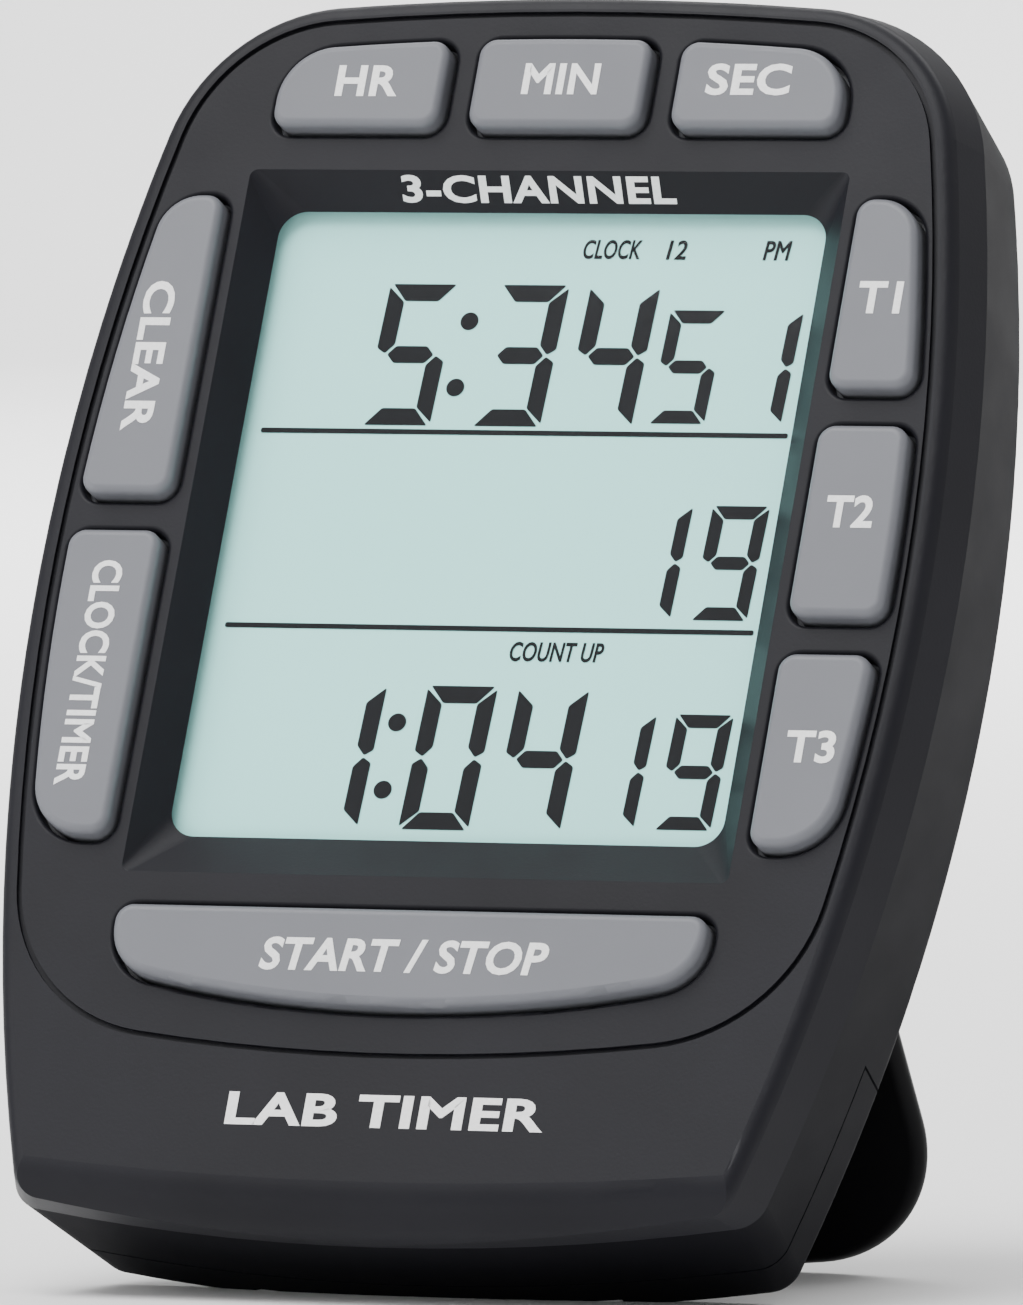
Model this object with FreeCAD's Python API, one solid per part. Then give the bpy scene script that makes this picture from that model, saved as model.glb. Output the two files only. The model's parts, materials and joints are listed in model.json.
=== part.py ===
import FreeCAD, Part
import math
import os

# A three-channel bench timer that leans back on a fold-out stand.
# Working frame: X to the right, Y into the case from its face, Z up the face from the
# lowest point of the case. place() leans the finished pieces back and sets the origin
# at the middle of the bottom of the whole object's box. All sizes are in millimetres.

V = FreeCAD.Vector
ACROSS = V(1, 0, 0)
INWARD = V(0, 1, 0)
OUTWARD = V(0, -1, 0)

# case, seen from the front: four flat arcs with rounded corners
CASE_W = 70.0
CASE_H = 95.0
LEAN = 25.0
SIDE_R = 158.0
SIDE_RISE = 1.5
TOP_R = 240.0
BOTTOM_R = 165.0
TOP_CORNER_R = 14.0
BACK_CORNER_R = 8.0
BOTTOM_CORNER_R = 2.5
LEAST_CORNER_R = 1.0

# shells
PART_LINE = 3.8
FACE_INSET = 1.3
REAR_TAPER = 8.5
BOTTOM_TAPER = 1.0
FACE_T = 1.6
WALL = 1.8
BACK_T = 1.6
FRONT_EDGE_R = 1.2
CHIN_EDGE_R = 3.4
CHIN_ARC_R = 280.0
BACK_EDGE_R = 1.5
STANDING_FLAT = 1.5
GROOVE_IN = 2.35
GROOVE_W = 0.4
GROOVE_DEPTH = 0.35
PANEL_BOTTOM = 12.6
PANEL_CORNER_R = 13.0

# display window and its sloped surround
WINDOW_W = 42.0
WINDOW_TOP_GAP = 17.05
WINDOW_RISE = 14.9
WINDOW_DEPTH = 2.25
WINDOW_CORNER_R = 2.0
SURROUND_SIDE = 2.0
SURROUND_TOP = 2.3
SURROUND_BOTTOM = 3.6
SURROUND_CORNER_R = 0.6
SURROUND_FRAME = 1.8
STACK_GAP = 0.05
LENS_T = 0.8
LENS_LAP = 1.4
AIR_GAP = 0.1
GLASS_T = 1.1
CONTACT_LEDGE = 2.0
REFLECTOR_T = 0.2

# keys
KEY_PROUD = 1.1
KEY_GAP = 0.3
KEY_EDGE_R = 0.6
RIM_R = 0.35
KEY_TRAVEL = 0.75
KEY_REST_GAP = 0.1
FLANGE_T = 0.7
FLANGE_W = 0.6
SIDE_KEY_IN = 3.6
SIDE_KEY_GAP = 1.3
SIDE_KEYS_OVER = -0.05
SIDE_KEYS_UNDER = 1.15
BETWEEN_KEYS = 2.75
TOP_KEY_IN = 4.8
TOP_KEY_H = 7.0
TOP_KEY_HALF_MIDDLE = 6.6
TOP_KEY_SPLIT = 2.3
TOP_KEY_END = 21.7
START_GAP = 2.75
START_H = 7.3
START_HALF_W = 22.4
START_ARC_R = 95.0
SMALL_CORNER_R = 1.3
LARGE_CORNER_R = 4.2
UPPER_CORNER_R = 3.2
START_CORNER_R = 3.8
POST_R = 1.3

# board stack
BOARD_Y = 8.05
BOARD_T = 1.2
BOARD_IN = 3.4
MAT_T = 0.7
DOME_H = 1.7
DOME_BASE_R = 2.5
DOME_TOP_R = 1.8
DOME_WALL = 0.45
DOME_ROOF_T = 0.6
PILL_R = 1.2
PILL_T = 0.9

# screws
CASE_BOSS_R = 2.3
CASE_SCREW_R = 0.95
CASE_HEAD_R = 1.8
CASE_HEAD_T = 1.3
HEAD_SINK = 3.5
BOSS_MEET_Y = 7.0
SCREW_FRONT_Y = 3.2
BOARD_BOSS_R = 1.5
BOARD_SCREW_R = 0.7
BOARD_HEAD_R = 1.4
BOARD_HEAD_T = 1.0
BOARD_SCREW_L = 5.0
SCREW_FIT = 0.03
BOSS_CLEAR = 0.4

# battery bay and its sliding door
CELL_R = 5.25
ROUND_CELL = 6.5
CELL_L = 44.5
NUB_R = 1.9
NUB_L = 0.8
CELL_GAP = 0.35
BAY_WALL = 1.1
CONTACT_T = 0.4
SPRING_L = 2.7
SPRING_R = 2.6
SPRING_WIRE_R = 0.3
SPRING_TURNS = 3
TAB_W = 2.0
TAB_GAP = 0.1
BAY_CLEAR = 1.2
DOOR_DEPTH = 5.4
DOOR_GAP = 0.2
RAIL_T = 0.7
RAIL_OUT = 0.9
RAIL_DROP = 0.5
HOOK_T = 0.8
LATCH_W = 8.0
LATCH_T = 0.7
LATCH_REACH = 1.8
DOOR_TRAVEL = 20.0

# stand
HINGE_Z = 40.0
STAND_ANGLE = 22.0
STAND_T = 2.0
STAND_TOP_HALF = 22.5
STAND_FOOT_HALF = 27.0
STAND_CORNER_R = 10.0
STAND_BACK_GAP = 0.1
STAND_GAP = 0.35
BARREL_R = 1.5
PIN_R = 1.0
PIN_L = 2.0
PIN_FIT = 0.05
HEEL = 2.6
HEEL_T = 1.2
STOP_GAP = 0.06
RECESS_FLOOR_GAP = 0.1
FINGER_HALF = 14.0
FINGER_H = 5.5

# back of the case
MAGNET_R = 6.0
MAGNET_T = 1.8
MAGNET_X = 20.0
MAGNET_DROP = 25.0
MAGNET_GAP = 0.1
PIEZO_R = 10.0
PIEZO_T = 0.25
CERAMIC_R = 7.0
PIEZO_SHIFT = 1.5
PIEZO_RING_H = 1.3
SOUND_HOLE_R = 1.0
LEAD_R = 0.45

# worked out from the sizes above
HALF_W = CASE_W / 2
CASE_D = 2 * CELL_R + ROUND_CELL
SIDE_MID = CASE_H / 2 + SIDE_RISE
SIDE_C = V(HALF_W - SIDE_R, 0, SIDE_MID)
TOP_C = V(0, 0, CASE_H - TOP_R)
BOTTOM_C = V(0, 0, BOTTOM_R)
BAY_HALF = (CELL_L + SPRING_L + 2 * CONTACT_T + 2 * STACK_GAP) / 2
FLOOR_RISE = BOTTOM_R - math.sqrt(BOTTOM_R ** 2 - BAY_HALF ** 2)
CELL_Y = FACE_T + CELL_R + 2 * CELL_GAP
CELL_Z = WALL + FLOOR_RISE + CELL_R + 1.5 * CELL_GAP
BAY_TOP = CELL_Z + CELL_R + CELL_GAP
BOARD_FOOT = BAY_TOP + BAY_WALL + BAY_CLEAR
DOOR_TOP = BOARD_FOOT
RAIL_FOOT = CELL_Z - RAIL_DROP
WINDOW_FOOT = BAY_TOP + WINDOW_RISE
WINDOW_H = CASE_H - WINDOW_TOP_GAP - WINDOW_FOOT
WINDOW_Z = WINDOW_FOOT + WINDOW_H / 2
LENS_Y = WINDOW_DEPTH + STACK_GAP
GLASS_Y = LENS_Y + LENS_T + AIR_GAP
REFLECTOR_Y = GLASS_Y + 2 * GLASS_T
HOLDER_Y = REFLECTOR_Y + REFLECTOR_T + STACK_GAP
GLASS_HALF_W = WINDOW_W / 2 + LENS_LAP
GLASS_HALF_H = WINDOW_H / 2 + LENS_LAP - 0.1
FLANGE_Y = FACE_T + KEY_REST_GAP
MAT_Y = BOARD_Y - STACK_GAP - MAT_T
DOME_Y = MAT_Y - DOME_H
BOARD_BACK = BOARD_Y + BOARD_T
INNER_BACK = CASE_D - BACK_T
DOOR_Y = CASE_D - DOOR_DEPTH
STAND_BACK = CASE_D - STAND_BACK_GAP
STAND_FRONT = STAND_BACK - STAND_T
RECESS_Y = STAND_FRONT - RECESS_FLOOR_GAP
HINGE_Y = STAND_BACK - BARREL_R
FOOT_EDGE_R = STAND_T / 2
SKIN_Y = RECESS_Y - BACK_T
PIEZO_Z = (HINGE_Z + CASE_H) / 2 - PIEZO_SHIFT


def tangent_corner(centre_a, radius_a, centre_b, radius_b, radius):
    """Centre of a corner circle that touches both arcs from inside, on the right."""
    a = radius_a - radius
    b = radius_b - radius
    between = centre_b - centre_a
    span = between.Length
    along = (a * a - b * b + span * span) / (2 * span)
    off = math.sqrt(a * a - along * along)
    unit = between / span
    normal = V(unit.z, 0, -unit.x)
    middle = centre_a + unit * along
    return max(middle + normal * off, middle - normal * off, key=lambda p: p.x)


def arc_edge(centre, radius, start, end):
    """Shorter arc about a centre from start to end."""
    direction = (start - centre).normalize() + (end - centre).normalize()
    return Part.Arc(start, centre + direction.normalize() * radius, end).toShape()


def mirrored(point):
    return V(-point.x, point.y, point.z)


def outline(y, side, top=None, bottom=None, top_r=None, bottom_r=None):
    """Closed outline of the case at depth y, moved in by side, top and bottom."""
    top = side if top is None else top
    bottom = side if bottom is None else bottom
    top_r = max(TOP_CORNER_R - side, LEAST_CORNER_R) if top_r is None else top_r
    bottom_r = max(BOTTOM_CORNER_R - side, LEAST_CORNER_R) if bottom_r is None else bottom_r
    depth = V(0, y, 0)
    side_c, top_c, bottom_c = SIDE_C + depth, TOP_C + depth, BOTTOM_C + depth
    side_radius, top_radius, bottom_radius = SIDE_R - side, TOP_R - top, BOTTOM_R - bottom
    upper = tangent_corner(side_c, side_radius, top_c, top_radius, top_r)
    lower = tangent_corner(side_c, side_radius, bottom_c, bottom_radius, bottom_r)
    top_end = top_c + (upper - top_c).normalize() * top_radius
    side_top = side_c + (upper - side_c).normalize() * side_radius
    side_foot = side_c + (lower - side_c).normalize() * side_radius
    bottom_end = bottom_c + (lower - bottom_c).normalize() * bottom_radius
    edges = [
        arc_edge(upper, top_r, top_end, side_top),
        arc_edge(side_c, side_radius, side_top, side_foot),
        arc_edge(lower, bottom_r, side_foot, bottom_end),
        arc_edge(bottom_c, bottom_radius, bottom_end, mirrored(bottom_end)),
        arc_edge(mirrored(lower), bottom_r, mirrored(bottom_end), mirrored(side_foot)),
        arc_edge(mirrored(side_c), side_radius, mirrored(side_foot), mirrored(side_top)),
        arc_edge(mirrored(upper), top_r, mirrored(side_top), mirrored(top_end)),
        arc_edge(top_c, top_radius, mirrored(top_end), top_end),
    ]
    return Part.Wire(edges)


def slab(wire, depth):
    return Part.Face(wire).extrude(INWARD * depth)


def plate(y0, y1, inset):
    """Slab with the case's outline moved in by inset."""
    return slab(outline(y0, inset), y1 - y0)


def box(x0, x1, y0, y1, z0, z1):
    return Part.makeBox(x1 - x0, y1 - y0, z1 - z0, V(x0, y0, z0))


def rod(radius, y0, y1, x, z):
    """Round bar along Y."""
    return Part.makeCylinder(radius, y1 - y0, V(x, y0, z), INWARD)


def both_sides(shape):
    return [shape, shape.mirror(V(0, 0, 0), ACROSS)]


def joined(first, others):
    return first.fuse(list(others)).removeSplitter()


def edges_at_depth(shape, y):
    flat = 1e-4
    return [e for e in shape.Edges
            if abs(e.BoundBox.YMin - y) < flat and abs(e.BoundBox.YMax - y) < flat]


def round_rect(y, x0, x1, z0, z1, radius):
    """Closed rectangle with rounded corners at depth y."""
    sketch = Part.makePlane(x1 - x0, z1 - z0, V(x0, y, z0), OUTWARD, ACROSS)
    prism = sketch.extrude(INWARD)
    upright = [e for e in prism.Edges if abs(e.tangentAt(e.FirstParameter).y) > 0.9]
    return prism.makeFillet(radius, upright)


def face_wire_at(shape, y):
    face = min(shape.Faces, key=lambda f: abs(f.BoundBox.YMin - y) + abs(f.BoundBox.YMax - y))
    return face.OuterWire


# ---------------------------------------------------------------- keys

def window_edge(side):
    """Where the sloped surround meets the face on each side of the window."""
    return {
        "side": WINDOW_W / 2 + SURROUND_SIDE,
        "top": WINDOW_Z + WINDOW_H / 2 + SURROUND_TOP,
        "bottom": WINDOW_Z - WINDOW_H / 2 - SURROUND_BOTTOM,
    }[side]


def side_limit(sign):
    return (V(sign * SIDE_C.x, 0, SIDE_C.z), SIDE_R - SIDE_KEY_IN)


def column(sign, names, upper_r, lower_r):
    """Keys of one side, equal in height, with large outer corners at the two ends."""
    inner = window_edge("side") + SIDE_KEY_GAP
    bottom = WINDOW_FOOT - SIDE_KEYS_UNDER
    top = WINDOW_FOOT + WINDOW_H + SIDE_KEYS_OVER
    height = (top - bottom - BETWEEN_KEYS * (len(names) - 1)) / len(names)
    keys = []
    for index, name in enumerate(names):
        z1 = top - index * (height + BETWEEN_KEYS)
        z0 = z1 - height
        span = sorted((sign * inner, sign * HALF_W))
        post_x = sign * (inner + HALF_W - SIDE_KEY_IN) / 2
        corners = {"up": upper_r if index == 0 else SMALL_CORNER_R,
                   "down": lower_r if index == len(names) - 1 else SMALL_CORNER_R}
        radii = {("up", sign): corners["up"], ("down", sign): corners["down"]}
        keys.append((name, span, (z0, z1), side_limit(sign), radii, [(post_x, (z0 + z1) / 2)]))
    return keys


def top_row():
    z0 = CASE_H - TOP_KEY_IN - TOP_KEY_H
    limit = (TOP_C, TOP_R - TOP_KEY_IN)
    inner = TOP_KEY_HALF_MIDDLE + TOP_KEY_SPLIT
    spans = {"key_hours": (-TOP_KEY_END, -inner),
             "key_minutes": (-TOP_KEY_HALF_MIDDLE, TOP_KEY_HALF_MIDDLE),
             "key_seconds": (inner, TOP_KEY_END)}
    keys = []
    for name, span in spans.items():
        middle = (span[0] + span[1]) / 2
        sign = (middle > 0) - (middle < 0)
        radii = {("up", sign): LARGE_CORNER_R} if sign else {}
        post = (middle, z0 + TOP_KEY_H / 2)
        keys.append((name, span, (z0, CASE_H), limit, radii, [post]))
    return keys


def start_key():
    z1 = window_edge("bottom") - START_GAP
    z0 = z1 - START_H
    limit = (V(0, 0, z0 + START_ARC_R), START_ARC_R)
    radii = {("down", 1): START_CORNER_R, ("down", -1): START_CORNER_R}
    posts = [(sign * START_HALF_W * 0.6, (z0 + z1) / 2) for sign in (-1, 1)]
    span = (-START_HALF_W, START_HALF_W)
    return ("key_start_stop", span, (z0, z1), limit, radii, posts)


KEYS = (top_row()
        + column(-1, ["key_clear", "key_clock_timer"], UPPER_CORNER_R, LARGE_CORNER_R)
        + column(1, ["key_t1", "key_t2", "key_t3"], UPPER_CORNER_R, LARGE_CORNER_R)
        + [start_key()])
ALL_POSTS = [post for key in KEYS for post in key[5]]


def key_blank(key, grow, y0, y1):
    """Key outline, grown all round, as a straight slab."""
    name, (x0, x1), (z0, z1), (centre, radius), radii, posts = key
    blank = box(x0 - grow, x1 + grow, y0, y1, z0 - grow, z1 + grow)
    blank = blank.common(rod(radius + grow, y0, y1, centre.x, centre.z)).removeSplitter()
    middle = blank.BoundBox.Center
    upright = [e for e in blank.Edges if abs(e.tangentAt(e.FirstParameter).y) > 0.9]
    for edge in upright:
        corner = edge.Vertexes[0].Point
        sign = 1 if corner.x > middle.x else -1
        level = "up" if corner.z > middle.z else "down"
        corner_r = radii.get((level, sign), SMALL_CORNER_R) + grow
        match = [e for e in blank.Edges
                 if e.CenterOfMass.distanceToPoint(edge.CenterOfMass) < 1e-3
                 and abs(e.Length - edge.Length) < 1e-3]
        blank = blank.makeFillet(corner_r, match)
    return blank


def make_key(key):
    cap = key_blank(key, 0.0, -KEY_PROUD, FLANGE_Y)
    cap = cap.makeFillet(KEY_EDGE_R, edges_at_depth(cap, -KEY_PROUD))
    flange = key_blank(key, FLANGE_W, FLANGE_Y, FLANGE_Y + FLANGE_T)
    posts = [rod(POST_R, FLANGE_Y, DOME_Y - STACK_GAP, x, z) for x, z in key[5]]
    return joined(cap, [flange] + posts)


def make_pills(key):
    """Conductive pills under the domes that this key presses."""
    y0 = DOME_Y + DOME_ROOF_T + STACK_GAP
    return Part.makeCompound([rod(PILL_R, y0, y0 + PILL_T, x, z) for x, z in key[5]])


# ---------------------------------------------------------------- screw places

CASE_SCREWS = [(sign * x, z) for sign in (-1, 1)
               for x, z in ((HALF_W - 9.8, CASE_H - 13.8), (HALF_W - 8.0, WINDOW_FOOT - 5.85))]
BOARD_SCREWS = [(sign * x, z) for sign in (-1, 1)
                for x, z in ((HALF_W - 10.4, CASE_H - 8.8), (12.0, WINDOW_FOOT - 3.45))]


def screw(x, z, head_y, head_r, head_t, shank_r, tip_y):
    """Pan-head screw along Y, with its head towards the back and a cross recess."""
    head = rod(head_r, head_y, head_y + head_t, x, z)
    head = head.makeFillet(head_t * 0.4, edges_at_depth(head, head_y + head_t))
    body = joined(head, [rod(shank_r, tip_y, head_y, x, z)])
    slot_l = head_r * 0.6
    slot_w = head_r * 0.15
    y0 = head_y + head_t * 0.5
    y1 = head_y + head_t * 2
    level = box(x - slot_l, x + slot_l, y0, y1, z - slot_w, z + slot_w)
    upright = box(x - slot_w, x + slot_w, y0, y1, z - slot_l, z + slot_l)
    return body.cut([level, upright])


def around_bosses():
    """Room that a sheet leaves for the case bosses that pass through it."""
    return [rod(CASE_BOSS_R + BOSS_CLEAR, 0, CASE_D, x, z) for x, z in CASE_SCREWS]


# ---------------------------------------------------------------- front case

def make_front_case():
    face_wire = outline(0.0, FACE_INSET, FACE_INSET, 0.0, bottom_r=BOTTOM_CORNER_R)
    shell = Part.makeLoft([face_wire, outline(PART_LINE, 0.0)], True, True)
    shell = shell.makeFillet(FRONT_EDGE_R, edges_at_depth(shell, 0.0))
    shell = shell.cut(chin_rounding())
    shell = shell.cut(plate(FACE_T, PART_LINE + 1, WALL))
    frame_x = WINDOW_W / 2 + SURROUND_FRAME
    frame_z = WINDOW_H / 2 + SURROUND_FRAME
    frame = box(-frame_x, frame_x, FACE_T, WINDOW_DEPTH, WINDOW_Z - frame_z, WINDOW_Z + frame_z)
    case_bosses = [rod(CASE_BOSS_R, FACE_T, BOSS_MEET_Y - STACK_GAP, x, z)
                   for x, z in CASE_SCREWS]
    board_bosses = [rod(BOARD_BOSS_R, FACE_T, BOARD_Y - STACK_GAP, x, z)
                    for x, z in BOARD_SCREWS]
    shell = joined(shell, [frame] + case_bosses + board_bosses)
    shell = shell.cut([key_blank(key, KEY_GAP, -1.0, FACE_T + 1.0) for key in KEYS])
    shell = shell.makeFillet(RIM_R, opening_edges(shell))
    cuts = [surround(), face_groove()]
    cuts += [rod(CASE_SCREW_R + SCREW_FIT, FACE_T, BOARD_Y, x, z) for x, z in CASE_SCREWS]
    cuts += [rod(BOARD_SCREW_R + SCREW_FIT, FACE_T + 1.0, BOARD_Y, x, z)
             for x, z in BOARD_SCREWS]
    return shell.cut(cuts)


def opening_edges(shell):
    """Edges of the key openings in the flat of the face."""
    flats = [f for f in shell.Faces if f.BoundBox.YMax - f.BoundBox.YMin < 1e-4]
    face = max((f for f in flats if abs(f.BoundBox.YMin) < 1e-4), key=lambda f: f.Area)
    return [e for wire in face.Wires if not wire.isSame(face.OuterWire) for e in wire.Edges]


def chin_rounding():
    """What the larger rounding along the foot of the face takes away, fading at the corners."""
    corner = V(0, -1, -1)
    start = V(0, -1, CHIN_EDGE_R)
    edges = [
        Part.LineSegment(V(0, 0, CHIN_EDGE_R), start).toShape(),
        Part.LineSegment(start, corner).toShape(),
        Part.LineSegment(corner, V(0, CHIN_EDGE_R, -1)).toShape(),
        Part.LineSegment(V(0, CHIN_EDGE_R, -1), V(0, CHIN_EDGE_R, 0)).toShape(),
        arc_edge(V(0, CHIN_EDGE_R, CHIN_EDGE_R), CHIN_EDGE_R,
                 V(0, CHIN_EDGE_R, 0), V(0, 0, CHIN_EDGE_R)),
    ]
    centre = V(0, 0, CHIN_ARC_R)
    sweep = math.degrees(CASE_W * 1.2 / CHIN_ARC_R)
    profile = Part.Face(Part.Wire(edges))
    profile.rotate(centre, INWARD, -sweep / 2)
    return profile.revolve(centre, INWARD, sweep)


def surround():
    """Sloped recess from the face down to the window."""
    outer_x = window_edge("side")
    outer = round_rect(0.0, -outer_x, outer_x, window_edge("bottom"), window_edge("top"),
                       SURROUND_CORNER_R)
    inner_z = WINDOW_H / 2
    inner = round_rect(WINDOW_DEPTH, -WINDOW_W / 2, WINDOW_W / 2, WINDOW_Z - inner_z,
                       WINDOW_Z + inner_z, WINDOW_CORNER_R)
    return Part.makeLoft([face_wire_at(outer, 0.0), face_wire_at(inner, WINDOW_DEPTH)], True, True)


def face_groove():
    """Fine line round the face panel, with an arc under the start key."""
    rings = []
    for inset in (GROOVE_IN, GROOVE_IN + GROOVE_W):
        wire = outline(-1.0, inset, inset, PANEL_BOTTOM + inset - GROOVE_IN,
                       TOP_CORNER_R - inset, PANEL_CORNER_R - inset + GROOVE_IN)
        rings.append(slab(wire, 1.0 + GROOVE_DEPTH))
    return rings[0].cut(rings[1])


# ---------------------------------------------------------------- rear case and door

def taper_at(y, angle):
    return (y - PART_LINE) * math.tan(math.radians(angle))


def rear_wire(y, wall):
    side = wall + taper_at(y, REAR_TAPER)
    share = (y - PART_LINE) / (CASE_D - PART_LINE)
    top_r = TOP_CORNER_R + (BACK_CORNER_R - TOP_CORNER_R) * share - wall
    bottom_r = max(BOTTOM_CORNER_R - wall, LEAST_CORNER_R)
    return outline(y, side, side, wall + taper_at(y, BOTTOM_TAPER), top_r, bottom_r)


def rear_body(y0, y1, wall):
    return Part.makeLoft([rear_wire(y0, wall), rear_wire(y1, wall)], True, True)


def stand_blank(grow, y0, y1, top_z):
    """Stand outline, grown all round: a plate that widens to a rounded foot."""
    slope = (STAND_FOOT_HALF - STAND_TOP_HALF) / (HINGE_Z - foot_z())
    top_half = STAND_TOP_HALF + grow - slope * (top_z - HINGE_Z)
    foot_half = STAND_FOOT_HALF + grow + slope * grow
    low = foot_z() - grow
    corners = [V(-top_half, y0, top_z), V(top_half, y0, top_z),
               V(foot_half, y0, low), V(-foot_half, y0, low)]
    blank = slab(Part.makePolygon(corners + corners[:1]), y1 - y0)
    blank = blank.common(rod(BOTTOM_R, y0, y1, 0, low + BOTTOM_R)).removeSplitter()
    middle = (top_z + low) / 2
    upright = [e for e in blank.Edges
               if abs(e.tangentAt(e.FirstParameter).y) > 0.9 and e.CenterOfMass.z < middle]
    return blank.makeFillet(STAND_CORNER_R + grow, upright)


def level_of(y, z):
    """Height above the table, before the origin is set, of a point of the leaning case."""
    lean = math.radians(LEAN)
    return z * math.cos(lean) - y * math.sin(lean)


TABLE = level_of(CASE_D, 0.0) + STANDING_FLAT


def stand_reach():
    """Hinge axis to the middle of the foot's round edge, so that the foot is on the table."""
    offset = STAND_BACK - STAND_T / 2 - HINGE_Y
    drop = level_of(HINGE_Y, HINGE_Z) - TABLE - FOOT_EDGE_R
    angle = math.radians(STAND_ANGLE)
    return (drop + offset * math.sin(angle)) / math.cos(angle)


def foot_z():
    return HINGE_Z - stand_reach() - FOOT_EDGE_R


OPEN_ANGLE = STAND_ANGLE + LEAN


def stop_floor():
    """Depth of the pocket floor that stops the heel of the opened stand."""
    turn = math.radians(OPEN_ANGLE)
    inner = STAND_BACK - HEEL_T - HINGE_Y
    return HINGE_Y + inner * math.cos(turn) - HEEL * math.sin(turn) - STOP_GAP


def hinge_pocket(grow):
    """Room for the barrel and the heel of the stand above and below the hinge axis."""
    reach = math.hypot(HEEL, BARREL_R) + STAND_GAP
    half = STAND_TOP_HALF + STAND_GAP
    return box(-half - grow, half + grow, stop_floor() - grow, CASE_D + 1,
               HINGE_Z - BARREL_R - STAND_GAP - grow, HINGE_Z + reach + grow)


def stand_recess():
    recess = stand_blank(STAND_GAP, RECESS_Y, CASE_D + 1, HINGE_Z)
    finger = box(-FINGER_HALF, FINGER_HALF, RECESS_Y, CASE_D + 1, -1.0, FINGER_H)
    return recess.fuse([finger, hinge_pocket(0.0)])


def below_table():
    """Half space that the flat under the leaning case cuts away."""
    size = 4 * CASE_W
    block = Part.makeBox(size, size, size, V(-size / 2, -size / 2, TABLE - size))
    block.rotate(V(0, 0, 0), ACROSS, LEAN)
    return block


def rear_shell():
    """Rear case and battery door before they are parted."""
    outer = rear_body(PART_LINE, CASE_D, 0.0)
    outer = outer.makeFillet(BACK_EDGE_R, edges_at_depth(outer, CASE_D))
    shell = outer.cut(rear_body(PART_LINE, INNER_BACK, WALL))
    behind_stand = stand_blank(STAND_GAP + BACK_T, SKIN_Y, CASE_D, HINGE_Z)
    inner_skins = [behind_stand, hinge_pocket(BACK_T)]
    shell = joined(shell, [skin.common(outer) for skin in inner_skins])
    return shell.cut([stand_recess(), below_table()])


def door_zone(gap):
    """Space of the battery door: the rear corner of the foot of the case."""
    return box(-CASE_W, CASE_W, DOOR_Y - gap, CASE_D + 2, -CASE_H, DOOR_TOP + gap)


CELL_X1 = BAY_HALF - CONTACT_T - STACK_GAP
RAIL_Y1 = SKIN_Y - DOOR_GAP
RAIL_Y0 = RAIL_Y1 - RAIL_T


def battery_bay():
    """Walls of the battery bay, with the rails that hold the door."""
    end = BAY_HALF + BAY_WALL
    front = FACE_T + CELL_GAP
    inside = rear_body(PART_LINE, INNER_BACK, WALL / 2)
    foremost = plate(front, PART_LINE, WALL + CELL_GAP)
    under_key = FLANGE_Y + FLANGE_T + KEY_TRAVEL + CELL_GAP
    roof = box(-CASE_W, CASE_W, under_key, DOOR_Y - DOOR_GAP, BAY_TOP, BAY_TOP + BAY_WALL)
    walls = both_sides(box(BAY_HALF, end, front, RAIL_Y1, WALL / 2, BAY_TOP + BAY_WALL / 2))
    solids = [wall.common(inside.fuse(foremost)) for wall in [roof] + walls]
    clear_foot = box(-CASE_W, CASE_W, DOOR_Y - DOOR_GAP, CASE_D, -1.0, RAIL_FOOT)
    solids = [solid.cut(clear_foot) for solid in solids]
    rails = both_sides(box(BAY_HALF, end + RAIL_OUT, RAIL_Y0, RAIL_Y1, RAIL_FOOT, BAY_TOP))
    return solids + rails


def contact_slots():
    """Slits in the bay's roof for the tabs of the two contacts."""
    y0 = CELL_Y - TAB_W / 2 - STACK_GAP
    y1 = CELL_Y + TAB_W / 2 + STACK_GAP
    x0 = BAY_HALF - CONTACT_T - 2 * STACK_GAP
    return both_sides(box(x0, BAY_HALF + STACK_GAP, y0, y1, BAY_TOP - 1, BAY_TOP + 2 * BAY_WALL))


def make_rear_case(shell):
    case = shell.cut(door_zone(DOOR_GAP))
    magnet_seats = [rod(MAGNET_R + BAY_WALL, CASE_D - MAGNET_T - BAY_WALL, CASE_D - 0.5, x, z)
                    for x, z in magnet_places()]
    ring_y = INNER_BACK - PIEZO_RING_H
    ring = rod(PIEZO_R + 1.0, ring_y, CASE_D - 0.5, 0, PIEZO_Z)
    ring = ring.cut(rod(PIEZO_R - 1.0, ring_y - 1, INNER_BACK, 0, PIEZO_Z))
    inside = rear_body(PART_LINE, CASE_D, WALL / 2)
    bosses = [rod(CASE_BOSS_R, BOSS_MEET_Y, CASE_D - 0.5, x, z).common(inside)
              for x, z in CASE_SCREWS]
    case = joined(case, magnet_seats + [ring] + bosses + battery_bay())
    cuts = [rod(MAGNET_R + MAGNET_GAP, CASE_D - MAGNET_T - STACK_GAP, CASE_D + 1, x, z)
            for x, z in magnet_places()]
    cuts.append(rod(SOUND_HOLE_R, INNER_BACK - 1, CASE_D + 1, 0, PIEZO_Z))
    cuts += [rod(CASE_SCREW_R + BOSS_CLEAR / 2, BOSS_MEET_Y - 1, CASE_D + 1, x, z)
             for x, z in CASE_SCREWS]
    cuts += [rod(CASE_HEAD_R + BOSS_CLEAR / 2, CASE_D - HEAD_SINK, CASE_D + 1, x, z)
             for x, z in CASE_SCREWS]
    pin_end = STAND_TOP_HALF + PIN_L + STAND_GAP
    pin_bore = Part.makeCylinder(PIN_R + PIN_FIT, 2 * pin_end, V(-pin_end, HINGE_Y, HINGE_Z), ACROSS)
    cuts += contact_slots() + [pin_bore, latch_tab(DOOR_GAP)]
    return case.cut(cuts)


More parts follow.
